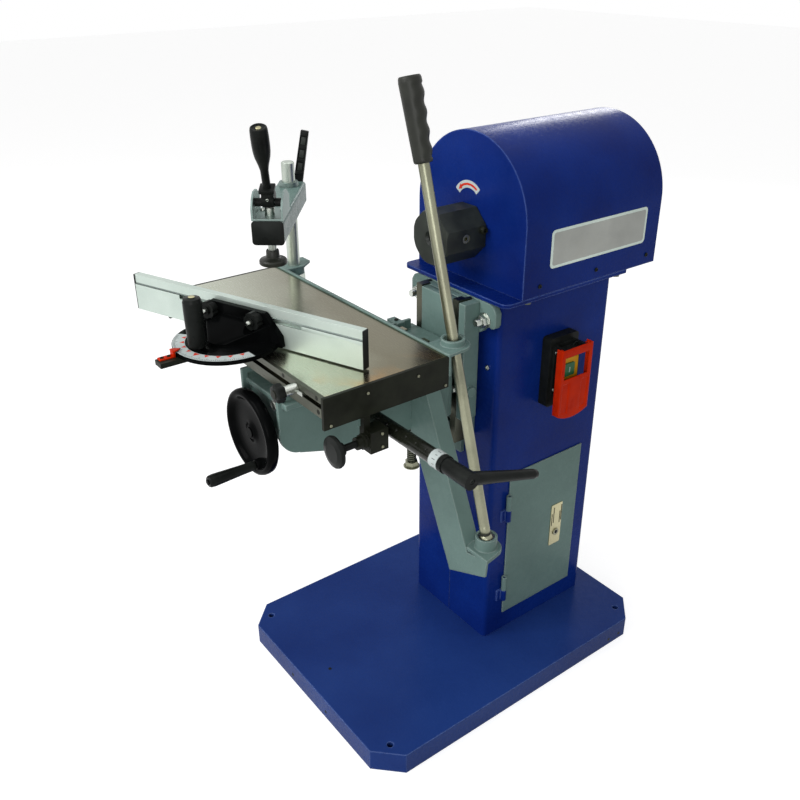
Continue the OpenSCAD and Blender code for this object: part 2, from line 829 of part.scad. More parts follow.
module arm_bush() {
    color(steel) arm_place() difference() {
        translate([0, 0, arm_z - 8]) cylinder(h = arm_h + 16, r = 16);
        translate([0, 0, arm_z - 20]) cylinder(h = 90, r = post_d / 2 + 0.08);
    }
}

module clamp_arm() {
    color(grey) arm_place() difference() {
        plate_x(-30, arm_reach + 30) soft_rect([-arm_w / 2, arm_z], [arm_w / 2, arm_z + arm_h], 5);
        plate_x(-26, arm_reach + 23)
            soft_rect([3 - arm_w / 2, arm_z + 3], [arm_w / 2 - 3, arm_z + arm_h - 3], 3);
        translate([0, 0, arm_z - 1]) cylinder(h = arm_h + 2, r = 16.1);
        translate([cam_p, 0, arm_z - 1]) cylinder(h = arm_h + 2, r = rod_hole);
        rod_x(5.08, -31, -25, lock_q, arm_z + arm_h / 2);
    }
}

module arm_lock_lever() {
    mid = arm_z + arm_h / 2;
    color(dark) arm_place() translate([0, lock_q, 0]) {
        rod_x(10, -54, -38, 0, mid);
        rod_x(5, -42, -16.6, 0, mid);
        translate([-46, 0, mid]) rotate([-10.6, 0, 0]) rotate_extrude()
            polygon([[0, 4], [5.2, 4], [6, 90], [4.6, 98], [3, 101.5], [0, 102]]);
    }
}

module cam_bracket() {
    top = arm_z + arm_h;
    rear = cam_p - 39;
    color(zinc) arm_place() difference() {
        union() {
            block([rear, -arm_w / 2, top], [arm_reach, arm_w / 2, top + 3]);
            for (y = [-arm_w / 2, arm_w / 2 - 3]) plate_y(y, 3) polygon([
                [rear, top], [arm_reach, top], [arm_reach, top + 17], [arm_reach - 8, top + 29],
                [cam_p + 1, top + 38], [cam_p - 19, top + 37], [rear, top + 25]
            ]);
            rod_y(4, -arm_w / 2, arm_w / 2, cam_p, cam_z);
        }
        translate([cam_p, 0, top - 1]) cylinder(h = 6, r = rod_hole);
    }
}

module cam_handle() {
    color(dark) arm_place() translate([cam_p, 0, cam_z]) difference() {
        union() {
            translate([0, -9.3, cam_e]) rotate([-90, 0, 0]) cylinder(h = 18.6, r = cam_r);
            rotate([0, 18, 0]) {
                block([-10, -8.8, -3], [10, 8.8, 24]);
                block([-11.5, -11.5, 20], [11.5, 11.5, 25.5]);
                translate([0, 0, 25]) rotate_extrude() polygon([
                    [0, 0], [6, 0], [6, 26], [8, 36], [13, 56], [14, 68],
                    [13.4, 88], [12.4, 92], [10, 94], [0, 94]
                ]);
            }
        }
        rod_y(4.1, -20, 20);
    }
}

module clamp_plunger() {
    top = cam_z + cam_e - cam_r;
    color(zinc) arm_place() translate([cam_p, 0, 0]) {
        translate([0, 0, pad_z + 12]) cylinder(h = top - pad_z - 12.4, r = rod_r);
        translate([0, 0, pad_z]) rotate_extrude() polygon([
            [0, 0], [20.5, 0], [21.5, 1.5], [21.5, 6], [19.5, 8], [10.5, 9.5], [10, 22.5], [0, 22.5]
        ]);
    }
}

// Mitre gauge on the front rails
module gauge_place() {
    translate([pivot[0], pivot[1], 0]) rotate(fence_deg) children();
}

module gauge_bar() {
    x = pivot[0];
    color(dark) difference() {
        union() {
            block([x - 9.5, pivot[1] - 104, bar_top - 7.2], [x + 9.5, rail_y - 1, bar_top]);
            block([x - 17, rail_y - 9, slot_z - 10], [x + 17, rail_y - gap, bar_top]);
            block([x - 15, rail_y - 1, slot_z - 3], [x + 15, table_y0 + 5, slot_z + 3]);
            block([x - 15, table_y0 + 1, slot_z - 7.6], [x + 15, table_y0 + 8, slot_z + 7.6]);
            translate([x, pivot[1], fence_z]) cylinder(h = 11, r = 5);
        }
        translate([x, pivot[1] - handle_v, fence_z - 10]) cylinder(h = 20, r = 4.08);
    }
}

module gauge_head() {
    base = bar_top + gap;
    r = 76;
    color(dark) gauge_place() difference() {
        union() {
            translate([0, 0, base]) linear_extrude(6) difference() {
                circle(r, $fn = 96);
                translate([-100, face_v]) square([200, 100]);
            }
            translate([0, face_v, 0]) rotate([90, 0, 0]) linear_extrude(8) polygon([
                [-78, base], [78, base], [76, base + 16],
                [50, base + 46], [-50, base + 46], [-76, base + 16]
            ]);
            hull() {
                translate([-60, face_v - 8, base]) cube([120, 4, 30]);
                translate([0, -4, base]) cylinder(h = 9, r = 24, $fn = 32);
            }
        }
        translate([0, 0, base - 1]) cylinder(h = 8, r = 5.1);
        translate([0, 0, base - 1]) rotate(-130 - fence_deg) rotate_extrude(angle = 80)
            translate([handle_v - 4.8, 0]) square([9.6, 60]);
        for (u = knob_us) {
            rod_y(3.4, -80, face_v + 1, u, groove_z);
            rod_y(14, -80, face_v - 7.7, u, groove_z);
        }
    }
}

module gauge_handle() {
    color(dark) translate([pivot[0], pivot[1] - handle_v, bar_top + 7]) {
        translate([0, 0, -17]) cylinder(h = 20, r = 4);
        rotate_extrude() polygon([[0, 0], [11, 0], [12, 4], [13.2, 40], [13.2, 66], [11.5, 71], [0, 73]]);
    }
}

module fence() {
    color(zinc) gauge_place() plate_x(fence_right - fence_len, fence_len)
        translate([face_v + gap, 0]) difference() {
            polygon([
                [0, fence_z], [fence_t, fence_z], [fence_t, fence_z + fence_h], [1.5, fence_z + fence_h],
                [1.5, groove_z + 5], [0, groove_z + 3]
            ]);
            translate([-1, groove_z - 3.5]) square([5, 7]);
            translate([3, groove_z - 6.5]) square([6, 13]);
            translate([3.2, fence_z + 5]) square([6, 20]);
            translate([3.2, groove_z + 10]) square([6, 5]);
        }
}

module fence_knob(u) {
    color(dark) gauge_place() translate([u, face_v - 8, groove_z]) rotate([90, 0, 0]) {
        lobed_knob(13, 5, 11);
        translate([0, 0, 10]) cylinder(h = 4, r = 6);
        translate([0, 0, -13]) cylinder(h = 14, r = 3.1);
        translate([0, 0, -16]) cylinder(h = 3.5, r = 5.8);
    }
}

module fence_knob_left() {
    fence_knob(knob_us[0]);
}

module fence_knob_right() {
    fence_knob(knob_us[1]);
}

// Adjustable stop on the front rails
module rail_stop() {
    color(zinc) difference() {
        union() {
            rod_y(7, rail_y - 20, rail_y - gap, stop_x, stop_z);
            block([stop_x - 7, rail_y - 2, slot_z - 3], [stop_x + 17, table_y0 + 4, slot_z + 3]);
            block([stop_x - 7, table_y0 + 1, slot_z - 7.6], [stop_x + 17, table_y0 + 7, slot_z + 7.6]);
        }
        rod_y(3.1, rail_y - 30, rail_y - 6, stop_x, stop_z);
    }
}

module stop_knob() {
    color(dark) translate([stop_x, rail_y - 20.4, stop_z]) rotate([90, 0, 0]) {
        lobed_knob(10.5, 5, 12);
        translate([0, 0, 11]) cylinder(h = 3, r = 6);
        translate([0, 0, -14]) cylinder(h = 15, r = 3);
    }
}

// Feed lever on its ball
module lever_place() {
    translate(ball) rotate([lean_x, 0, 0]) rotate([0, lean_y, 0]) children();
}

module ball_shell() {
    color([0.85, 0.85, 0.8]) translate(ball) rotate([lean_x, 0, 0]) intersection() {
        difference() {
            sphere(r = 13.3);
            sphere(r = ball_r + gap);
        }
        translate([0, 0, -9]) cylinder(h = 13, r = 20);
    }
}

module lever_rod() {
    color(steel) lever_place() {
        sphere(r = ball_r);
        rotate_extrude() polygon([
            [0, 0], [5, 0], [5, 18], [rod_d / 2, 22], [rod_d / 2, lever_len - 20],
            [rod_d / 2 - 2, lever_len - 18], [0, lever_len - 18]
        ]);
    }
}

module lever_grip() {
    g0 = lever_len - grip_len;
    color(dark) lever_place() translate([0, 0, g0]) difference() {
        rotate_extrude() polygon(concat(
            [[0, 0], [11.5, 0], [13.6, 2]],
            [for (i = [0 : 32]) [13.4 + 1.2 * abs(sin(i * 22.5)) + i * 0.05, 8 + i * (grip_len - 34) / 32]],
            [[15.6, grip_len - 20], [16.4, grip_len - 10]],
            [[15, grip_len - 3], [10, grip_len], [0, grip_len]]
        ));
        translate([0, 0, -1]) cylinder(h = grip_len - 16, r = rod_d / 2 + 0.03);
    }
}

base_tray();
column();
cable_gland();
door();
lock_plate();
door_lock();
head_plate();
head_bolts();
head_cover();
motor_housing();
spindle_bearings();
spindle_shaft();
chuck_body();
chuck_screw();
switch_box();
switch_module();
start_button();
stop_paddle();
guide_hanger();
hanger_studs();
guide_plate();
guide_bars();
lift_nut();
knee_carriage();
knee_frame();
lever_bracket();
depth_ways();
handwheel();
handwheel_shaft();
crank_grip();
lift_screw();
saddle();
cross_ways();
index_bar();
index_ring();
index_lever();
table_top();
table_aprons();
back_strip();
front_rails();
index_block();
index_plunger();
clamp_post();
arm_bush();
clamp_arm();
arm_lock_lever();
cam_bracket();
cam_handle();
clamp_plunger();
gauge_bar();
gauge_head();
gauge_handle();
fence();
fence_knob_left();
fence_knob_right();
rail_stop();
stop_knob();
ball_shell();
lever_rod();
lever_grip();
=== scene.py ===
import bmesh
import bpy
import math
from mathutils import Matrix, Vector


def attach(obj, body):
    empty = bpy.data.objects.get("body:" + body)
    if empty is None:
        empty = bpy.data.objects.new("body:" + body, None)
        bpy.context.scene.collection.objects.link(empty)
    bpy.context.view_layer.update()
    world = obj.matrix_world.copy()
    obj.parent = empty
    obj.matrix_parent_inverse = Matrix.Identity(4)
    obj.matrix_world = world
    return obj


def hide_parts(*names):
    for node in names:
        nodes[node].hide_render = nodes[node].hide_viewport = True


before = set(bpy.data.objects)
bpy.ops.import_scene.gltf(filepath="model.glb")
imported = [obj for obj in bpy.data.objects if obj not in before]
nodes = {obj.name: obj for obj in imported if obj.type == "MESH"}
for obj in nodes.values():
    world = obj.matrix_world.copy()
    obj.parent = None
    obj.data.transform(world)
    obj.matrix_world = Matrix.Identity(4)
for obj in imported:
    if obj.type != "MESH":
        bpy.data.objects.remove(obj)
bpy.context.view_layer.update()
scene = bpy.context.scene
MM = 0.001


# Finishes

# Inputs of the Map Range node, by number
VALUE, LOW, HIGH, TO_LOW, TO_HIGH = range(5)
# Cutting lines: how far the grain is drawn out along each axis
ALONG_X, ALONG_Z, EVEN = (0.03, 1, 1), (1, 1, 0.15), (1, 1, 1)


def colour(code):
    """Linear RGBA of an sRGB hex value."""
    parts = [int(code[i:i + 2], 16) / 255 for i in (1, 3, 5)]
    return [c / 12.92 if c <= 0.04045 else ((c + 0.055) / 1.055) ** 2.4 for c in parts] + [1.0]


def spots(width_mm):
    """The noise scale that gives spots of this width."""
    return 1000 / width_mm


def add(tree, kind, inputs, **settings):
    """Adds one node, sets its options, and sets or links its inputs."""
    made = tree.nodes.new(kind)
    for key, value in settings.items():
        setattr(made, key, value)
    for key, value in inputs.items():
        if isinstance(value, bpy.types.NodeSocket):
            tree.links.new(value, made.inputs[key])
        else:
            made.inputs[key].default_value = value
    return made


def finish(name):
    """A new material with its node tree, its shader and its Object coordinates."""
    made = bpy.data.materials.new(name)
    made.use_nodes = True
    tree = made.node_tree
    coords = add(tree, "ShaderNodeTexCoord", {}).outputs["Object"]
    return made, tree, tree.nodes["Principled BSDF"], coords


def worn_edge(tree, soft):
    """1 on edges, where the rounded normal leaves the true one, and 0 on flats."""
    flat = add(tree, "ShaderNodeNewGeometry", {}).outputs["Normal"]
    same = add(tree, "ShaderNodeVectorMath", {0: soft, 1: flat}, operation="DOT_PRODUCT").outputs["Value"]
    return add(tree, "ShaderNodeMapRange", {VALUE: same, LOW: 1.0, HIGH: 0.62}, clamp=True).outputs[0]


def dress(tree, shader, skin, rough, height, soft, lift, depth_mm):
    """Gives the shader its colour, its roughness, and its relief on the rounded normal."""
    bump = add(tree, "ShaderNodeBump", {"Height": height, "Strength": lift, "Distance": depth_mm * MM,
                                        "Normal": soft}).outputs[0]
    for socket, value in (("Base Color", skin), ("Roughness", rough), ("Normal", bump)):
        tree.links.new(value, shader.inputs[socket])


def enamel(name, deep, main, bare):
    """Stoved enamel on sheet steel: soft gloss over orange peel; its edges are pale, partly as chipped wear
    and partly as a painted highlight.

    The peel is 2 mm wide and the edges 1 mm; both are drawn coarser, so that they show at this distance.
    """
    made, tree, shader, coords = finish(name)
    cloud = add(tree, "ShaderNodeTexNoise", {"Vector": coords, "Scale": spots(160), "Detail": 3.0}).outputs[0]
    drift = add(tree, "ShaderNodeMapRange", {VALUE: cloud, LOW: 0.3, HIGH: 0.7}, clamp=True).outputs[0]
    coat = add(tree, "ShaderNodeMix", {"Factor": drift, "A": colour(deep), "B": colour(main)},
               data_type="RGBA").outputs["Result"]
    chips = add(tree, "ShaderNodeTexNoise", {"Vector": coords, "Scale": spots(12), "Detail": 4.0}).outputs[0]
    soft = add(tree, "ShaderNodeBevel", {"Radius": 3.5 * MM}, samples=4).outputs["Normal"]
    # Pale edges: chipped wear where the chips noise allows, and a painted highlight along the rounded edges
    edge_wear_and_highlight = add(tree, "ShaderNodeMath", {0: worn_edge(tree, soft), 1: chips}, operation="MULTIPLY").outputs[0]
    edge_wear_and_highlight = add(tree, "ShaderNodeMapRange", {VALUE: edge_wear_and_highlight, LOW: 0.06, HIGH: 0.32, TO_HIGH: 0.7},
               clamp=True).outputs[0]
    skin = add(tree, "ShaderNodeMix", {"Factor": edge_wear_and_highlight, "A": coat, "B": colour(bare)},
               data_type="RGBA").outputs["Result"]
    rough = add(tree, "ShaderNodeMapRange", {VALUE: chips, LOW: 0.3, HIGH: 0.7,
                                             TO_LOW: 0.2, TO_HIGH: 0.34}).outputs[0]
    peel = add(tree, "ShaderNodeTexNoise", {"Vector": coords, "Scale": spots(4), "Detail": 2.0}).outputs[0]
    dress(tree, shader, skin, rough, peel, soft, lift=0.4, depth_mm=0.5)
    shader.inputs["Specular IOR Level"].default_value = 0.05
    return made


def browner_to_back_right(tree, coords, haze, skin, brown):
    """Browner towards the table's back right corner, and rust flecks along its front and right edges."""
    axes = add(tree, "ShaderNodeSeparateXYZ", {0: coords}).outputs
    # In metres: a metre of depth counts for 3.4 of width, and the haze breaks up the border
    along = add(tree, "ShaderNodeMath", {0: axes["Y"], 1: 3.4, 2: axes["X"]},
                operation="MULTIPLY_ADD").outputs[0]
    along = add(tree, "ShaderNodeMath", {0: haze, 1: 0.45, 2: along}, operation="MULTIPLY_ADD").outputs[0]
    along = add(tree, "ShaderNodeMapRange", {VALUE: along, LOW: -1.23, HIGH: -0.42, TO_HIGH: 0.92},
                clamp=True).outputs[0]
    skin = add(tree, "ShaderNodeMix", {"Factor": along, "A": skin, "B": colour(brown)},
               data_type="RGBA").outputs["Result"]
    # Rust rises over 36 mm towards the front edge and 48 mm towards the right one
    front = add(tree, "ShaderNodeMapRange", {VALUE: axes["Y"], LOW: -0.3, HIGH: -0.336},
                clamp=True).outputs[0]
    right = add(tree, "ShaderNodeMapRange", {VALUE: axes["X"], LOW: 0.11, HIGH: 0.158},
                clamp=True).outputs[0]
    rim = add(tree, "ShaderNodeMath", {0: front, 1: right}, operation="MAXIMUM").outputs[0]
    flecks = add(tree, "ShaderNodeTexNoise", {"Vector": coords, "Scale": spots(45), "Detail": 5.0}).outputs[0]
    flecks = add(tree, "ShaderNodeMapRange", {VALUE: flecks, LOW: 0.48, HIGH: 0.72, TO_HIGH: 0.7},
                 clamp=True).outputs[0]
    rust = add(tree, "ShaderNodeMath", {0: rim, 1: flecks}, operation="MULTIPLY").outputs[0]
    return add(tree, "ShaderNodeMix", {"Factor": rust, "A": skin, "B": colour("#A5814F")},
               data_type="RGBA").outputs["Result"]


def painted_groove_shade(tree, coords, skin, height_mm, half_mm):
    """A level line of painted shade: a darker band at one height."""
    high = add(tree, "ShaderNodeSeparateXYZ", {0: coords}).outputs["Z"]
    shade_band = add(tree, "ShaderNodeMath", {0: high, 1: height_mm * MM, 2: half_mm * MM},
               operation="COMPARE").outputs[0]
    # The painted shade's colour
    return add(tree, "ShaderNodeMix", {"Factor": shade_band, "A": skin, "B": colour("#59635F")},
               data_type="RGBA").outputs["Result"]


def metal(name, dark, main, rough, grain, grain_mm, lift=0.12, angle=0.0, stain="#8F8878", stained=0.2,
          browned=None, groove=None, bare=1.0):
    """Bare or plated metal: cutting lines along an axis, haze, stains, a browner corner, and a painted shade
    line along a groove.
    """
    made, tree, shader, coords = finish(name)
    lines = add(tree, "ShaderNodeMapping", {"Vector": coords, "Rotation": (0, 0, math.radians(angle)),
                                            "Scale": grain}).outputs[0]
    cut = add(tree, "ShaderNodeTexNoise", {"Vector": lines, "Scale": spots(grain_mm),
                                           "Detail": 3.0}).outputs[0]
    haze = add(tree, "ShaderNodeTexNoise", {"Vector": coords, "Scale": spots(90), "Detail": 4.0}).outputs[0]
    shade = add(tree, "ShaderNodeMath", {0: cut, 1: 0.5, 2: haze}, operation="MULTIPLY_ADD").outputs[0]
    shade = add(tree, "ShaderNodeMapRange", {VALUE: shade, LOW: 0.5, HIGH: 1.0}, clamp=True).outputs[0]
    bright = add(tree, "ShaderNodeMix", {"Factor": shade, "A": colour(dark), "B": colour(main)},
                 data_type="RGBA").outputs["Result"]
    patches = add(tree, "ShaderNodeTexNoise", {"Vector": coords, "Scale": spots(140),
                                               "Detail": 5.0}).outputs[0]
    patches = add(tree, "ShaderNodeMapRange", {VALUE: patches, LOW: 0.5, HIGH: 0.68, TO_HIGH: stained},
                  clamp=True).outputs[0]
    skin = add(tree, "ShaderNodeMix", {"Factor": patches, "A": bright, "B": colour(stain)},
               data_type="RGBA").outputs["Result"]
    if browned:
        skin = browner_to_back_right(tree, coords, haze, skin, browned)
    if groove:
        skin = painted_groove_shade(tree, coords, skin, *groove)
    sheen = add(tree, "ShaderNodeMapRange", {VALUE: cut, LOW: 0.3, HIGH: 0.7,
                                             TO_LOW: rough - 0.06, TO_HIGH: rough + 0.08}).outputs[0]
    soft = add(tree, "ShaderNodeBevel", {"Radius": 0.5 * MM}, samples=4).outputs["Normal"]
    dress(tree, shader, skin, sheen, cut, soft, lift, depth_mm=0.2)
    shader.inputs["Metallic"].default_value = bare
    return made


def moulded(name, dark, main, rough, pebble_mm, lift, gloss):
    """Moulded plastic, rubber, ink or blacked steel: a fine pebbled skin and a paler, rubbed edge."""
    made, tree, shader, coords = finish(name)
    pebble = add(tree, "ShaderNodeTexNoise", {"Vector": coords, "Scale": spots(pebble_mm),
                                              "Detail": 2.0}).outputs[0]
    haze = add(tree, "ShaderNodeTexNoise", {"Vector": coords, "Scale": spots(30), "Detail": 3.0}).outputs[0]
    soft = add(tree, "ShaderNodeBevel", {"Radius": 0.6 * MM}, samples=4).outputs["Normal"]
    rub = add(tree, "ShaderNodeMath", {0: worn_edge(tree, soft), 1: 0.55, 2: haze},
              operation="MULTIPLY_ADD").outputs[0]
    rub = add(tree, "ShaderNodeMapRange", {VALUE: rub, LOW: 0.3, HIGH: 1.0}, clamp=True).outputs[0]
    skin = add(tree, "ShaderNodeMix", {"Factor": rub, "A": colour(dark), "B": colour(main)},
               data_type="RGBA").outputs["Result"]
    sheen = add(tree, "ShaderNodeMapRange", {VALUE: haze, LOW: 0.3, HIGH: 0.7,
                                             TO_LOW: rough - 0.05, TO_HIGH: rough + 0.07}).outputs[0]
    dress(tree, shader, skin, sheen, pebble, soft, lift, depth_mm=0.2)
    shader.inputs["Specular IOR Level"].default_value = gloss
    return made


# Stoved enamel: the navy stand, a lighter copy of it on its tray as painted light, and the grey-green slides
blue = enamel("navy_stoved_enamel", "#0B2168", "#113184", "#6E8AD6")
lit_tray_blue = enamel("navy_stoved_enamel_painted_lighter", "#1A3373", "#233F82", "#7A92CE")
grey = enamel("grey_green_stoved_enamel", "#687F7A", "#79938D", "#B4C8C2")
# Ground steel: a wide, hazy sheen with warm stains, rust, and a browner back right corner
ground = metal("ground_table_steel", "#B4BAA9", "#DDE3D3", 0.22, ALONG_X, 0.5, lift=0.04, stain="#A0957A",
               stained=0.5, browned="#69634D")
# Drawn steel: dark and streaked along the bar
rails = metal("drawn_rail_steel", "#33352B", "#63665A", 0.32, ALONG_X, 0.5, stain="#4B4331", stained=0.6)
# Turned and ground round steel: fine lines along the bar, warm where it is bare
turned = metal("turned_bright_steel", "#6C6D5E", "#9C9D86", 0.34, ALONG_Z, 0.6)
bar = metal("ground_round_bar", "#AEB7AE", "#CCD3CA", 0.36, ALONG_Z, 0.6)
# Zinc plate: a cool, nearly mirror-bright skin; on the folded bracket it has gone dull
zinc = metal("zinc_plated_steel", "#A2A7A1", "#CBCFC7", 0.28, EVEN, 0.8, stained=0.1)
dull = metal("dull_zinc_plate", "#6F7F7B", "#8A9A96", 0.45, EVEN, 0.8, stained=0.1)
# Anodised aluminium: pale and satin, drawn lengthwise; cast aluminium: flat and grainy
# The fence's groove gets a painted shade line along its upper lip and chamfer
alloy = metal("anodised_aluminium", "#B4C2BA", "#CFDBD3", 0.45, ALONG_X, 0.5, lift=0.08, angle=-21,
              stained=0.0, groove=(724.1, 1.3), bare=0.65)
cast = metal("cast_aluminium", "#888A86", "#A2A49F", 0.5, EVEN, 1.2, lift=0.1)
# Passivated plate: a pale straw yellow
brass = metal("yellow_passivated_plate", "#AAA582", "#C6C19C", 0.4, (1, 1, 0.1), 0.5)
# Blacked steel: oily, nearly black, with a soft sheen
oxide = moulded("blacked_steel", "#14160F", "#2C2F25", 0.38, 0.7, 0.1, gloss=0.08)
oiled = moulded("oiled_black_bar", "#12140F", "#272A21", 0.22, 0.7, 0.05, gloss=0.25)
tool = moulded("blued_tool_steel", "#1C201E", "#3A403A", 0.42, 0.7, 0.1, gloss=0.25)
# Gloss enamel: deep black, with small sharp highlights
gloss_black = moulded("black_gloss_enamel", "#060707", "#0E0F10", 0.16, 1.5, 0.03, gloss=0.014)
# Grip rubber: a dull, brownish black
rubber = moulded("black_grip_rubber", "#161713", "#2C2F27", 0.42, 0.6, 0.2, gloss=0.3)
# Moulded and printed plastics: flat, even colours under a faint gloss
black = moulded("black_moulded_plastic", "#161817", "#2B2E2C", 0.3, 0.8, 0.1, gloss=0.06)
red = moulded("red_moulded_plastic", "#BE2404", "#DC360D", 0.3, 1.0, 0.08, gloss=0.04)
green = moulded("green_button_plastic", "#1F5A36", "#2F7448", 0.36, 1.0, 0.08, gloss=0.2)
yellow = moulded("yellow_printed_plastic", "#CF9310", "#EBB01E", 0.4, 1.0, 0.05, gloss=0.2)
white = moulded("white_printed_plastic", "#B9C3C2", "#D2DAD8", 0.42, 1.0, 0.05, gloss=0.2)
# Printing ink: matt
ink = moulded("black_printing_ink", "#15161A", "#24262B", 0.5, 0.5, 0.05, gloss=0.2)
scarlet = moulded("red_printing_ink", "#D02C16", "#E33F24", 0.45, 0.5, 0.05, gloss=0.2)

cad_finish = {
    blue: "column head_plate head_cover",
    # The tray's lighter navy is painted light
    lit_tray_blue: "base_tray",
    grey: "door guide_hanger guide_plate lift_nut knee_carriage knee_frame lever_bracket saddle back_strip "
          "clamp_arm",
    ground: "table_top depth_ways cross_ways",
    rails: "front_rails head_bolts guide_bars",
    turned: "lever_rod spindle_shaft lift_screw door_lock spindle_bearings chuck_screw",
    bar: "clamp_post",
    zinc: "hanger_studs clamp_plunger rail_stop ball_shell",
    dull: "cam_bracket arm_bush",
    alloy: "fence",
    cast: "motor_housing",
    tool: "chuck_body",
    oxide: "table_aprons index_block gauge_bar",
    oiled: "index_bar",
    gloss_black: "gauge_head handwheel handwheel_shaft",
    black: "cable_gland switch_box switch_module crank_grip index_lever index_plunger arm_lock_lever "
           "cam_handle gauge_handle fence_knob_left fence_knob_right stop_knob",
    rubber: "lever_grip",
    red: "stop_paddle",
    green: "start_button",
    white: "index_ring",
    brass: "lock_plate",
}
for material, names in cad_finish.items():
    for name in names.split():
        slots = nodes[name].data.materials
        slots.clear()
        slots.append(material)


# Shapes, in millimetres

UP, FRONT, BACK, RIGHT, LEFT = (0, 0, 1), (0, -1, 0), (0, 1, 0), (1, 0, 0), (-1, 0, 0)
CENTRE = (0, 0, 0)
# A hexagon's width across flats over the radius of its corners
HEX = 1.732


def move(x, y, z):
    """A shift."""
    return Matrix.Translation((x, y, z))


def turn(degrees, axis="Z"):
    """A rotation about an axis."""
    return Matrix.Rotation(math.radians(degrees), 4, axis)


def at(x, y, z, aim=UP, spin=0.0):
    """A place: the shape's Z points along aim, turned about it."""
    return move(x, y, z) @ Vector(UP).rotation_difference(Vector(aim)).to_matrix().to_4x4() @ turn(spin)


def chain(bm, points):
    """Edges through (radius, height) points, ready to be spun."""
    verts = [bm.verts.new((r, 0, z)) for r, z in points]
    return verts + [bm.edges.new(pair) for pair in zip(verts, verts[1:])]


def lathe(profile, steps=32):
    """A turned shape: (radius, height) points spun round Z."""
    bm = bmesh.new()
    bmesh.ops.spin(bm, geom=chain(bm, profile), axis=UP, cent=CENTRE, angle=2 * math.pi, steps=steps,
                   use_merge=True)
    return bm


def soften(bm, edges, width, rounds=2):
    """Rounds the given edges."""
    bmesh.ops.bevel(bm, geom=edges, offset=width, affect="EDGES", segments=rounds, profile=0.5, material=-1)


def thicken(bm, thick):
    """Pulls every face up along Z by the thickness."""
    grown = bmesh.ops.extrude_face_region(bm, geom=list(bm.faces))["geom"]
    bmesh.ops.translate(bm, verts=[v for v in grown if isinstance(v, bmesh.types.BMVert)], vec=(0, 0, thick))


def box(bm, place, size):
    """Adds a plain box with its middle at the place."""
    bmesh.ops.create_cube(bm, size=1.0, matrix=place @ Matrix.Diagonal((*size, 1)))


def slices(bm, axis, cuts):
    """Cuts every face at these distances along an axis."""
    for cut in cuts:
        bmesh.ops.bisect_plane(bm, geom=bm.verts[:] + bm.edges[:] + bm.faces[:], plane_co=Vector(axis) * cut,
                               plane_no=axis)


def block(size, corner=0.0, edge=0.0):
    """A box on Z = 0, its four upright edges rounded by corner and its rims by edge."""
    bm = bmesh.new()
    box(bm, move(0, 0, size[2] / 2), size)
    if corner:
        soften(bm, [e for e in bm.edges if abs(e.verts[0].co.z - e.verts[1].co.z) > size[2] / 2], corner, 6)
    if edge:
        soften(bm, [e for e in bm.edges if e.calc_face_angle(0) > 0.9], edge)
    return bm


def plate(outline, thick, edge=0.0):
    """A flat plate of an X-Y outline."""
    bm = bmesh.new()
    bm.faces.new([bm.verts.new((x, y, 0)) for x, y in outline])
    thicken(bm, thick)
    bmesh.ops.recalc_face_normals(bm, faces=bm.faces)
    if edge:
        soften(bm, [e for e in bm.edges if e.calc_face_angle(0) > 0.3], edge)
    return bm


def ring_band(inner, outer, start, sweep, thick, steps):
    """A flat sector of a ring."""
    bm = bmesh.new()
    ends = [bm.verts.new(turn(start) @ Vector((r, 0, 0))) for r in (inner, outer)]
    edge = bm.edges.new(ends)
    bmesh.ops.spin(bm, geom=ends + [edge], axis=UP, cent=CENTRE, angle=math.radians(sweep), steps=steps)
    thicken(bm, thick)
    return bm


def screw(r, high, socket=0.5):
    """A round screw head with a socket."""
    return lathe([(0, high * 0.4), (r * socket, high * 0.4), (r * socket, high * 0.96), (r * 0.74, high),
                  (r * 0.94, high * 0.8), (r, high * 0.5), (r, 0)], 20)


def hex_bolt(across, high, washer):
    """A hex head with chamfered corners on a washer."""
    bm = lathe([(0, 0), (washer, 0), (washer, 1.3), (washer - 0.3, 1.6), (0, 1.6)], 24)
    corner = across / HEX
    bmesh.ops.create_cone(bm, cap_ends=True, segments=6, radius1=corner, radius2=corner, depth=high,
                          matrix=move(0, 0, 1.5 + high / 2))
    soften(bm, [e for e in bm.edges if min(e.verts[0].co.z, e.verts[1].co.z) > high], high * 0.14)
    return bm


def put(name, data):
    """A new object in the scene."""
    made = bpy.data.objects.new(name, data)
    scene.collection.objects.link(made)
    return made


def settle(bm, name, body, material, place=Matrix(), crisp=35, stands_for=()):
    """Closes a shape, puts it in its place and gives it to the body that carries it."""
    bmesh.ops.remove_doubles(bm, verts=bm.verts, dist=0.001)
    bmesh.ops.recalc_face_normals(bm, faces=bm.faces)
    bmesh.ops.transform(bm, matrix=Matrix.Scale(MM, 4) @ place, verts=bm.verts)
    mesh = bpy.data.meshes.new(name)
    bm.to_mesh(mesh)
    bm.free()
    mesh.shade_smooth()
    mesh.set_sharp_from_angle(angle=math.radians(crisp))
    mesh.materials.append(material)
    made = put(name, mesh)
    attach(made, body)
    if stands_for:
        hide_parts(*stands_for)
    return made


# A shape's X, Y and Z laid along Y, Z and X: plates that face the right
TO_RIGHT = Matrix(((0, 0, 1, 0), (1, 0, 0, 0), (0, 1, 0, 0), (0, 0, 0, 1)))
# X stays, Y goes up and Z comes forward: plates that face the operator
TO_FRONT = turn(90, "X")


# Stand: drilled holes with painted shade, seam, hanger, screws, latch, bare plate and turning arrow

STUD_X, STUD_Z = 80, 672


def drilled(r):
    """A drilled hole as it shows from outside: a burred rim round a dark dish, the painted shade inside the
    hole.
    """
    return lathe([(0, 0.05), (r * 0.8, 0.05), (r, 0.3), (r * 1.2, 0.2), (r * 1.3, 0)], 20)


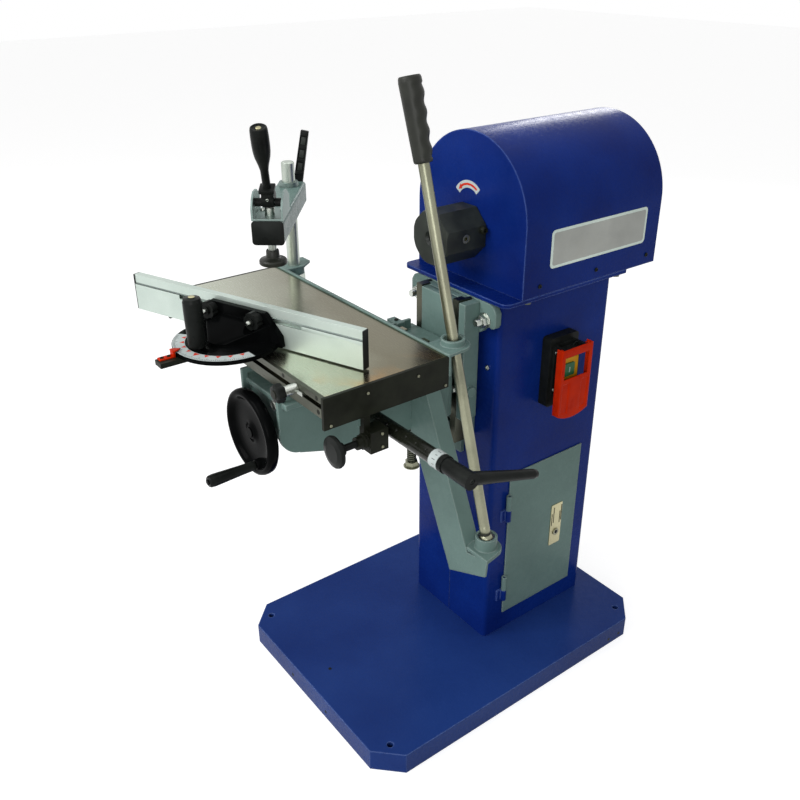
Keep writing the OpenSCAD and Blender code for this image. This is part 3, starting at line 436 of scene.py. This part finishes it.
def hanger_plate():
    """The plate that hangs the guide: two ears, each with a slot that drops over a stud."""
    slot_r = 6.6
    half = [(88, 701), (97, 697), (103, 688), (103, 669), (100, 663.5), (95, 661.5), (89.5, 663), (86.6, 667)]
    half += [(STUD_X + slot_r * math.cos(math.radians(a)), STUD_Z + slot_r * math.sin(math.radians(a)))
             for a in range(0, 181, 20)]
    half += [(73.4, 655), (70.5, 649.5), (63, 646.5), (54, 646), (51, 649), (50, 660)]
    return plate(half + [(-x, z) for x, z in reversed(half)], 12, 0.8)


# Dark dishes paint the shade inside the tray's holes
for i, place in enumerate([at(-6.7, -257.4, 40), at(-58, -305, 14, FRONT), at(51, -305, 14, FRONT),
                           at(225, 219, 11.5, RIGHT), at(225, 247, 11.5, RIGHT)]):
    settle(drilled(2.4), f"tray_hole_{i}", "stand", oxide, place)
settle(block((1.6, 0.7, 405), edge=0.25), "column_seam", "stand", blue, at(0, 12, 44))
settle(screw(4.2, 3.2, 0.4), "column_bolt", "stand", zinc, at(78, 12, 588, FRONT))
settle(hanger_plate(), "hanger_plate", "stand", grey, move(0, 12, 0) @ TO_FRONT,
       stands_for=["guide_hanger"])
for x in (-STUD_X, STUD_X):
    settle(hex_bolt(18, 9.5, 12.5), f"hanger_nut_{x}", "stand", zinc,
           at(x, 0, STUD_Z, FRONT, 15), stands_for=["hanger_studs"])
    settle(lathe([(5.9, 0), (5.9, 19), (5.2, 20.4), (0, 20.6)], 24), f"hanger_stud_{x}", "stand",
           zinc, at(x, 0, STUD_Z, FRONT), stands_for=["hanger_studs"])
for side, aim in ((125, RIGHT), (-125, LEFT)):
    for y in (66.6, 191, 312):
        settle(screw(3.4, 2.2), f"cover_screw_{side}_{y:.0f}", "stand", oxide,
               at(side, y, 725, aim))
for i, y in enumerate((166, 170.4, 186, 189.4)):
    settle(block((1.0, 1.2, 34 if i % 2 else 26), 0.3, 0.2), f"latch_rib_{i}", "door", oxide,
           at(104.2, y, 228 + 5 * (i % 2)))
settle(lathe([(0, 0), (3.4, 0), (3.4, 0.5), (2.8, 0.8), (0, 0.8)], 24), "keyhole_cover", "lock",
       ink, at(106, 178, 211.5, RIGHT))
name_place = move(125, 193.5, 778) @ TO_RIGHT
settle(block((217, 60, 0.9), 7, 0.3), "bare_nameplate", "stand", alloy, name_place)
settle(block((208, 51, 1.15), 4, 0.1), "bare_nameplate_field", "stand", cast, name_place)
arrow_place = move(-3, 32, 828.8) @ TO_FRONT
settle(ring_band(25, 36.6, 47, 100, 0.3, 24), "turning_label", "stand", white, arrow_place)
settle(ring_band(28.9, 32.3, 55, 72, 0.45, 18), "turning_arrow_tail", "stand", scarlet,
       arrow_place)
point = [turn(a) @ Vector((r, 0, 0)) for r, a in ((26.6, 126), (34.8, 126), (30.4, 142))]
settle(plate([v.xy for v in point], 0.45), "turning_arrow_point", "stand", scarlet,
       arrow_place)
settle(screw(6.2, 7), "chuck_cap_screw", "spindle", oxide, at(39.8, 23.6, 800, RIGHT))


# Switch: printed frame and mark, screws, lanyard loop and the stop paddle

PADDLE_Y = 141.5


def printed_frame():
    """A thin, open frame."""
    bm = bmesh.new()
    bmesh.ops.create_grid(bm, x_segments=1, y_segments=1, size=1.0,
                          matrix=Matrix.Diagonal((19.2, 18.6, 1, 1)))
    bmesh.ops.inset_individual(bm, faces=list(bm.faces), thickness=5.4)
    middle = [f for f in bm.faces if max(v.co.x for v in f.verts) < 15]
    bmesh.ops.delete(bm, geom=middle, context="FACES")
    thicken(bm, 0.9)
    return bm


def wire_loop():
    """Half a ring of round wire."""
    bm = bmesh.new()
    bmesh.ops.create_circle(bm, segments=10, radius=1.3, matrix=move(5, 0, 0) @ TO_FRONT)
    bmesh.ops.spin(bm, geom=bm.verts[:] + bm.edges[:], axis=UP, cent=CENTRE, angle=math.pi, steps=14)
    return bm


def stop_cap():
    """The paddle: a shallow cap with an arched foot, a window and a sunk lower panel."""
    arch_z, arch_r, hem = 561.5, 75, 8
    bm = bmesh.new()
    box(bm, move(141.75, PADDLE_Y, 551), (13.5, 70, 125))
    slices(bm, BACK, (111.6, 114.2, 120, 128, 135, PADDLE_Y, 148, 155, 163, 168.8, 171.4))
    slices(bm, UP, (500, 553, 560.6, 599.4))
    for v in bm.verts:
        if v.co.z < 501:
            foot = arch_z - math.sqrt(arch_r ** 2 - (v.co.y - PADDLE_Y) ** 2)
            v.co.z = foot if v.co.z < 495 else foot + hem
    window, panel, open_side = [], [], []
    for f in bm.faces:
        c = f.calc_center_median()
        if c.x < 135.1 or c.z > 613.4:
            open_side.append(f)
        elif c.x > 148.4 and 114 < c.y < 169 and 561 < c.z < 599:
            window.append(f)
        elif c.x > 148.4 and 111.7 < c.y < 171.3 and c.z < 552 and min(v.co.z for v in f.verts) > 495:
            panel.append(f)
    bmesh.ops.delete(bm, geom=window + open_side, context="FACES")
    bmesh.ops.inset_region(bm, faces=panel, thickness=1.6, depth=-1.3, use_even_offset=True)
    bmesh.ops.recalc_face_normals(bm, faces=bm.faces)
    return bm


settle(printed_frame(), "start_frame", "stand", yellow, move(134, 139.6, 571) @ TO_RIGHT)
settle(block((1.6, 9, 0.5), 0.5), "start_mark", "start", white,
       move(138.4, 136, 571) @ TO_RIGHT)
for y in (118.6, 164.4):
    for z in (533, 600):
        settle(screw(2.6, 1.8), f"switch_screw_{y:.0f}_{z}", "stand", zinc,
               at(122, y, z, RIGHT))
settle(wire_loop(), "lanyard_loop", "stand", black, move(128, 157, 605.3) @ TO_RIGHT)
paddle = settle(stop_cap(), "stop_paddle_cap", "paddle", red, stands_for=["stop_paddle"])
wall = paddle.modifiers.new("wall", "SOLIDIFY")
wall.thickness = 2.4 * MM
wall.offset = -1.0
wall.use_even_offset = True
roll_over = paddle.modifiers.new("roll_over", "BEVEL")
roll_over.width = 1.1 * MM
roll_over.segments = 3
roll_over.limit_method = "ANGLE"
roll_over.angle_limit = math.radians(40)
for y, outer, aim in ((112, 109, BACK), (171, 174, FRONT)):
    settle(lathe([(0, 0), (5.2, 0), (5.2, 5), (2.6, 5), (2.6, 9), (0, 9)], 20), f"paddle_lug_{y}", "paddle",
           red, at(140, outer, 607, aim))


# Table and knee: screws in the rails, the end aprons and the index block, bolts, and the carriage's face

RAIL_Y = -346
INDEX_Y, INDEX_Z = -235, 597

for x in (146.9, 63.9, -19.1, -102.1, -185.1, -268.1):
    settle(screw(3.3, 0.14), f"upper_rail_screw_{x:.0f}", "table", oxide,
           at(x, RAIL_Y, 675.6, FRONT))
for x in (149.6, -77, -303.6):
    settle(screw(3.6, 0.14), f"lower_rail_screw_{x:.0f}", "table", oxide,
           at(x, RAIL_Y, 657, FRONT))
for x, aim in ((162, RIGHT), (-316, LEFT)):
    for y, z in ((-335.7, 638.6), (-277, 667.4), (-193.8, 667.3), (-146, 638.6)):
        settle(screw(2.1, 1.5, 0.4), f"apron_screw_{x}_{y:.0f}", "table", turned,
               at(x, y, z, aim))
for z in (INDEX_Z - 10, INDEX_Z + 10):
    settle(screw(2.1, 1.5), f"index_block_screw_{z}", "table", turned, at(173, -263, z, RIGHT))
settle(hex_bolt(21, 5, 13), "plunger_nut", "table", oxide, at(160, -282, INDEX_Z, FRONT, 8))
settle(hex_bolt(13, 6, 9), "knee_bolt", "knee", zinc, at(40, -345.1, 622, FRONT, 15))
settle(screw(3.4, 2.2), "shelf_screw", "knee", oxide, at(-58, -67, 644))
settle(hex_bolt(10, 5.6, 6.2), "guide_bar_bolt", "stand", zinc, at(48.5, -30, 551, FRONT, 10))
settle(block((74.8, 14.8, 72), 0.5, 0.5), "carriage_face", "knee", grey, at(0, -23.6, 628))


# Lift screw with its thread, bevel pinion and end nut

LIFT_Y = -80


def threaded(r, root, pitch, turns, steps):
    """A cut thread: one pitch of the flank swept up a helix."""
    bm = bmesh.new()
    flank = [(r, 0), (r, pitch * 0.34), (root, pitch * 0.5), (root, pitch * 0.84), (r, pitch)]
    bmesh.ops.spin(bm, geom=chain(bm, flank), axis=UP, cent=CENTRE, dvec=(0, 0, pitch / steps),
                   angle=2 * math.pi * turns, steps=steps * turns)
    return bm


settle(threaded(8, 6.4, 4, 42, 20), "lift_screw_thread", "screw", rails, at(0, LIFT_Y, 408),
       stands_for=["lift_screw"])
settle(lathe([(0, 570), (8, 570), (10.4, 579), (17.4, 586), (13, 586), (13, 591), (8, 591.5), (8, 627.5),
              (0, 627.5)]), "lift_screw_head", "screw", turned, at(0, LIFT_Y, 0),
       stands_for=["lift_screw"])
settle(hex_bolt(20, 9.5, 13.8), "lift_screw_nut", "screw", turned, at(0, LIFT_Y, 401))


# Indexing bar: ring marks and the lever's end screw

for a in range(0, 360, 30):
    long = 5.5 if a % 60 == 0 else 3.5
    settle(block((long, 0.7, 0.3)), f"ring_mark_{a}", "index", ink,
           move(258, INDEX_Y, INDEX_Z) @ turn(a, "X") @ move(4 - long / 2, 0, 12.45))
settle(screw(3.6, 2.4, 0.6), "index_end_screw", "index", tool,
       at(320, INDEX_Y, INDEX_Z, RIGHT))


# Handwheel: a dished wheel with a thick round rim, a plain centre and the crank's boss

web_back = [(6, 0), (22, 0), (24, 5), (49, 8.4)]
rim = [(52, 4.6), (56, 3), (61, 3.4), (64.2, 6), (65, 10), (65, 14.5), (63.6, 18.4), (60.4, 20.6), (57, 20.6),
       (53.4, 18), (50.6, 14.4), (47, 12.4)]
web_front = [(36, 11.4), (20, 11.4), (13, 12.2), (11, 14), (9, 15), (0, 15.4)]
settle(lathe(web_back + rim + web_front, 72), "handwheel_dish", "handwheel", gloss_black,
       at(0, -356, 568, FRONT), 50, ["handwheel"])
settle(lathe([(0, 0), (9.5, 0), (8.2, 6), (8, 13), (7, 14.4), (4, 14.8), (4, 90), (0, 90)], 28), "crank_boss",
       "handwheel", gloss_black, at(18, -362, 524, FRONT), stands_for=["handwheel"])


# Clamp: end cap, bracket screws, axle collars, cam handle, pad and lock lever

ARM_Z, CAM_Z, CLAMP_REACH = 803, 843, 184
arm = move(-297, -113, 0) @ turn(-39.4)
cam = arm @ move(CLAMP_REACH, 0, CAM_Z) @ turn(18, "Y")
pad_place = arm @ at(CLAMP_REACH, 0, 0)
lock_place = arm @ move(-46, 6.5, ARM_Z)
lever_place = lock_place @ turn(-10.6, "X")


def lock_handle():
    """The arm's lock lever: a tapered flat bar with sunk panels on both faces."""
    bm = bmesh.new()
    box(bm, move(0, 0, 51), (9, 15, 102))
    slices(bm, UP, (28, 32, 50, 54, 72, 76, 94))
    for v in bm.verts:
        v.co.y *= 1.08 - 0.0018 * v.co.z
    soften(bm, [e for e in bm.edges if e.calc_face_angle(0) > 0.9], 1.0)
    for f in [f for f in bm.faces if abs(f.normal.x) > 0.9 and f.calc_area() > 120]:
        bmesh.ops.inset_individual(bm, faces=[f], thickness=1.8, depth=-1.4)
    return bm


settle(block((48.6, 36.6, 3.4), 5.5, 1.2), "arm_end_cap", "arm", black,
       arm @ move(208, 0, ARM_Z) @ TO_RIGHT)
for q, inner, aim in ((-15, -9.9, FRONT), (15, 9.9, BACK)):
    settle(screw(4, 2.6), f"bracket_screw_{q}", "arm", zinc, arm @ at(160, q, 824))
    settle(lathe([(4.05, 0), (6.4, 0), (6.4, 10.6), (4.05, 10.6)], 24), f"axle_collar_{q}", "arm",
           black, arm @ at(CLAMP_REACH, inner, CAM_Z, aim))
settle(screw(2.4, 1.2), "cam_set_screw", "cam", zinc, cam @ at(9.9, 0, 10, RIGHT))
settle(lathe([(0, -9.3), (12.2, -9.3), (13, -8.5), (13, 8.5), (12.2, 9.3), (0, 9.3)]), "cam_disc", "cam",
       black, arm @ at(CLAMP_REACH, 0, 849, BACK), stands_for=["cam_handle"])
settle(block((20, 17.4, 25), 1.5, 0.8), "cam_block", "cam", black, cam @ at(0, 0, -3),
       stands_for=["cam_handle"])
settle(block((23, 23, 5.6), 2, 0.9), "cam_collar", "cam", black, cam @ at(0, 0, 20),
       stands_for=["cam_handle"])
grip = [(0, 25), (6, 25), (6.2, 54), (8, 63), (11.6, 76), (12.8, 84), (13.3, 94), (13.3, 108), (12.9, 118),
        (12.1, 121), (10.6, 122), (9.4, 121.6), (8.6, 120.4), (0, 120.2)]
settle(lathe(grip), "cam_grip", "cam", black, cam, stands_for=["cam_handle"])
settle(lathe([(0, 1.1), (3.6, 1), (4.2, 0.5), (4.3, 0)], 20), "cam_handle_end", "cam", brass,
       cam @ at(0, 0, 120.2))
pad = [(0, 747.5), (20.3, 747.5), (21.5, 748.7), (21.5, 753.4), (20, 755.4), (12.4, 757), (10.4, 758.6),
       (10, 768.6), (9, 770), (0, 770)]
settle(lathe(pad, 40), "clamp_pad", "pad", rubber, pad_place, stands_for=["clamp_plunger"])
ribs = [(r, z + 2.1 * k) for k in range(4) for r, z in ((7.4, 827), (7.4, 828.2), (6.7, 828.6))]
settle(lathe([(0, 769), (6.6, 769), (6.6, 783), (7.4, 784)] + ribs + [(7.2, 835.5), (0, 835.5)]), "clamp_rod",
       "pad", zinc, pad_place, stands_for=["clamp_plunger"])
# Paler plates in the sunk panels on one face of the lock lever: a painted reflection
for z in (41, 63, 85):
    settle(block((7.6, 13, 0.6), 1, 0.3), f"lock_lever_reflection_panel_{z}", "arm_lock", tool,
           lever_place @ move(3.4, 0, z) @ TO_RIGHT)
settle(lock_handle(), "lock_lever_bar", "arm_lock", black, lever_place,
       stands_for=["arm_lock_lever"])
settle(lathe([(0, -8), (8.6, -8), (10, -6.8), (10, 6.6), (8.8, 8), (5, 8), (5, 29.2), (0, 29.2)]),
       "lock_lever_hub", "arm_lock", black, lock_place @ at(0, 0, 0, RIGHT),
       stands_for=["arm_lock_lever"])


# Mitre gauge: scale, pointer, handle end and knob studs

gauge = move(-56, -366, 0) @ turn(21)
scale_place = gauge @ move(0, 0, 692.3)
# The scale's zero, towards the operator
ZERO = 270


def scale_ticks():
    """Lines every 2 degrees, longer every 10."""
    bm = bmesh.new()
    for k in range(-34, 35):
        long = 6.0 if k % 5 == 0 else 3.2
        box(bm, turn(ZERO + 2 * k) @ move(74.2 - long / 2, 0, 0.3), (long, 0.45, 0.14))
    return bm


settle(ring_band(58, 75.3, 198, 144, 0.25, 72), "gauge_scale", "gauge_head", white,
       scale_place)
settle(scale_ticks(), "gauge_ticks", "gauge_head", ink, scale_place)
for k in range(-4, 5):
    reach = 8 if k == 0 else 6
    settle(plate([(0, -reach * 0.62), (reach, 0), (0, reach * 0.62)], 0.2), f"gauge_mark_{k + 4}",
           "gauge_head", scarlet, scale_place @ (turn(ZERO + 15.5 * k) @ move(59, 0, 0.2)))
settle(block((10.6, 22, 2.0), 1.5, 0.4), "pointer_foot", "gauge", red, at(-60.2, -456, 686))
settle(block((12, 3, 9), 0.6, 0.4), "pointer_riser", "gauge", red, at(-61, -445.4, 686))
settle(plate([(-68, -447), (-54.5, -447), (-56, -441), (-61, -433), (-66.5, -440)], 1.4, 0.3), "pointer_tip",
       "gauge", red, at(0, 0, 693.6))
for y in (-462, -452):
    settle(screw(2.7, 1.6), f"pointer_screw_{-y}", "gauge", oxide, at(-60, y, 688))
settle(lathe([(0, 0.8), (3.4, 0.7), (4.4, 0.2), (4.6, 0)], 20), "gauge_handle_end", "gauge_handle",
       brass, at(-56, -411, 765.9))
for u, body in ((-47.5, "knob_left"), (35, "knob_right")):
    settle(lathe([(0, 6), (2, 5.8), (3.2, 4.6), (3.5, 3), (3.5, 0)], 20), body + "_stud", body,
           zinc, gauge @ at(u, 11.4, 720.2, FRONT))


# Stop's knob, fence caps and the covers of the fence's slot

STOP_X, STOP_Z = 97.5, 671


def star_knob(r, high, lobes):
    """A moulded knob with round lobes."""
    side = [(0, 0), (0.5 * r, 0), (0.86 * r, 0.6), (0.97 * r, 2), (r, 4), (r, high - 4),
            (0.96 * r, high - 1.6), (0.84 * r, high - 0.4), (0.5 * r, high), (0, high)]
    bm = lathe(side, lobes * 8)
    for v in bm.verts:
        if v.co.xy.length > 0.4 * r:
            v.co.xy *= 0.93 + 0.07 * math.cos(lobes * math.atan2(v.co.y, v.co.x))
    return bm


settle(star_knob(13.4, 13.4, 7), "stop_star_knob", "stop_knob", black,
       at(STOP_X, -366.4, STOP_Z, FRONT), stands_for=["stop_knob"])
settle(lathe([(0, 0), (6.2, 0), (5.8, 1.2), (0, 1.4)], 20), "stop_knob_cap", "stop_knob",
       oxide, at(STOP_X, -379.7, STOP_Z, FRONT))
for end, u, facing in (("right", 209, TO_RIGHT), ("left", -212, turn(180) @ TO_RIGHT)):
    settle(block((12, 56, 1.6), 0.6, 0.3), f"fence_cap_{end}", "fence", black,
           gauge @ move(u, 39.3, 710.2) @ facing)
for start, long in ((108, 101), (-212, 92)):
    settle(block((long, 6.4, 1.5), 0.4, 0.15), f"fence_slot_cover_{start}", "fence", alloy,
           gauge @ move(start + long / 2, 34.85, 719.9) @ TO_FRONT)


# Feed lever: a black rubber washer over the ball that also paints the shadow under the rod's end, the rod's
# foot and the pushed-on grip

ball, ring = Vector((209.4, -98, 381)), Vector((135, -111, 690))
rise = ring - ball
lever = (move(*ball) @ Matrix.Rotation(-math.atan(rise.y / rise.z), 4, "X")
         @ Matrix.Rotation(math.atan(rise.x / math.hypot(rise.y, rise.z)), 4, "Y"))


def finger_grip():
    """A rubber grip with four finger waves on the side away from the operator."""
    wave_start, wave_end, wave_long = 566, 662, 24
    side = [(0, 562), (11.2, 562), (12.8, 563.2), (13.2, 565)]
    side += [(13.3 + 2.6 * i / 44, wave_start + i * 2.25) for i in range(45)]
    side += [(15.7, 666), (15.5, 669), (14.8, 671.4), (13.6, 672.4), (12.8, 672.1), (0, 671.8)]
    bm = lathe(side, 48)
    for v in bm.verts:
        if wave_start < v.co.z < wave_end:
            facing = max(0.0, v.co.x * 0.6 + v.co.y * 0.8) / max(v.co.xy.length, 0.1)
            height = 0.5 + 0.5 * math.cos((v.co.z - wave_start) * 2 * math.pi / wave_long)
            wave = -2.3 * height * facing ** 0.8
            v.co.xy *= (v.co.xy.length + wave + 0.9 * facing) / v.co.xy.length
    return bm


# The washer's black also paints the shadow below the rod's end
settle(lathe([(5.05, 8.4), (8.6, 8.6), (8.8, 9.2), (8.8, 11.2), (8.4, 11.8), (5.05, 11.8)], 28),
       "ball_washer_and_shadow", "lever", rubber, lever)
settle(lathe([(5.05, 11.6), (7.9, 11.6), (8.12, 12), (8.12, 23), (7.9, 23.4)], 28), "rod_foot", "lever",
       turned, lever)
settle(finger_grip(), "finger_grip", "lever", rubber, lever, 50, ["lever_grip"])


# Room, light and camera, in metres

def lamp(name, place, target, size, power):
    """A soft square studio lamp."""
    light = bpy.data.lights.new(name, "AREA")
    light.size = size
    light.energy = power
    made = put(name, light)
    made.location = place
    made.rotation_euler = (Vector(target) - Vector(place)).to_track_quat("-Z", "Y").to_euler()


def seen(tree):
    """1 for what the camera sees, straight or through glass, and for reflections; 0 for soft light."""
    path = add(tree, "ShaderNodeLightPath", {}).outputs
    straight = add(tree, "ShaderNodeMath", {0: path["Is Camera Ray"], 1: path["Is Transmission Ray"]},
                   operation="MAXIMUM").outputs[0]
    return add(tree, "ShaderNodeMath", {0: straight, 1: path["Is Glossy Ray"]},
               operation="MAXIMUM").outputs[0]


lamp("key_lamp", (-0.7, -3.1, 2.9), (0, -0.1, 0.5), 2.2, 92)
lamp("camera_side_lamp", (2.5, -2.5, 1.5), (0, -0.1, 0.5), 1.6, 36)
lamp("top_lamp", (0.2, 0.6, 3.2), (0, 0, 0.4), 2.4, 14)
lamp("crown_lamp", (-2.1, 2.7, 1.75), (0, 0.2, 0.9), 0.8, 12)

world = bpy.data.worlds.new("studio")
scene.world = world
world.use_nodes = True
sky = world.node_tree
back = sky.nodes["Background"]
back.inputs["Color"].default_value = colour("#FFFFFF")
strength = add(sky, "ShaderNodeMapRange", {VALUE: seen(sky), TO_LOW: 0.3, TO_HIGH: 1.0}).outputs[0]
sky.links.new(strength, back.inputs["Strength"])

# White paper: its own white shows to the camera and in metal, and the object's shadow stays on it
paper, tree, shader, _ = finish("white_paper_floor")
shader.inputs["Base Color"].default_value = colour("#BCBCBC")
shader.inputs["Roughness"].default_value = 0.9
strength = add(tree, "ShaderNodeMath", {0: seen(tree), 1: 0.75}, operation="MULTIPLY").outputs[0]
glow = add(tree, "ShaderNodeEmission", {"Color": colour("#FFFFFF"), "Strength": strength}).outputs[0]
both = add(tree, "ShaderNodeAddShader", {0: shader.outputs[0], 1: glow}).outputs[0]
tree.links.new(both, tree.nodes["Material Output"].inputs["Surface"])
bm = bmesh.new()
bmesh.ops.create_grid(bm, x_segments=1, y_segments=1, size=12.0)
mesh = bpy.data.meshes.new("floor")
bm.to_mesh(mesh)
bm.free()
mesh.materials.append(paper)
floor = put("floor", mesh)

# The photograph's camera: its angles in degrees, its focal length in pixels and its place
SENSOR_MM, PHOTO_PX, FOCAL_PX = 36.0, 800, 879.06
azimuth, elevation, roll = (math.radians(a) for a in (53.144, 27.812, -0.291))
outward = Vector((math.sin(azimuth) * math.cos(elevation), -math.cos(azimuth) * math.cos(elevation),
                  math.sin(elevation)))
right = Vector((math.cos(azimuth), math.sin(azimuth), 0))
up = outward.cross(right)
side = right * math.cos(roll) + up * math.sin(roll)
head = up * math.cos(roll) - right * math.sin(roll)
lens = bpy.data.cameras.new("camera")
lens.sensor_width = SENSOR_MM
lens.lens = SENSOR_MM * FOCAL_PX / PHOTO_PX
lens.clip_start = 0.05
camera = put("camera", lens)
camera.matrix_world = move(0.9988, -0.8524, 1.1925) @ Matrix((side, head, outward)).transposed().to_4x4()
scene.camera = camera
scene.view_settings.view_transform = "Standard"
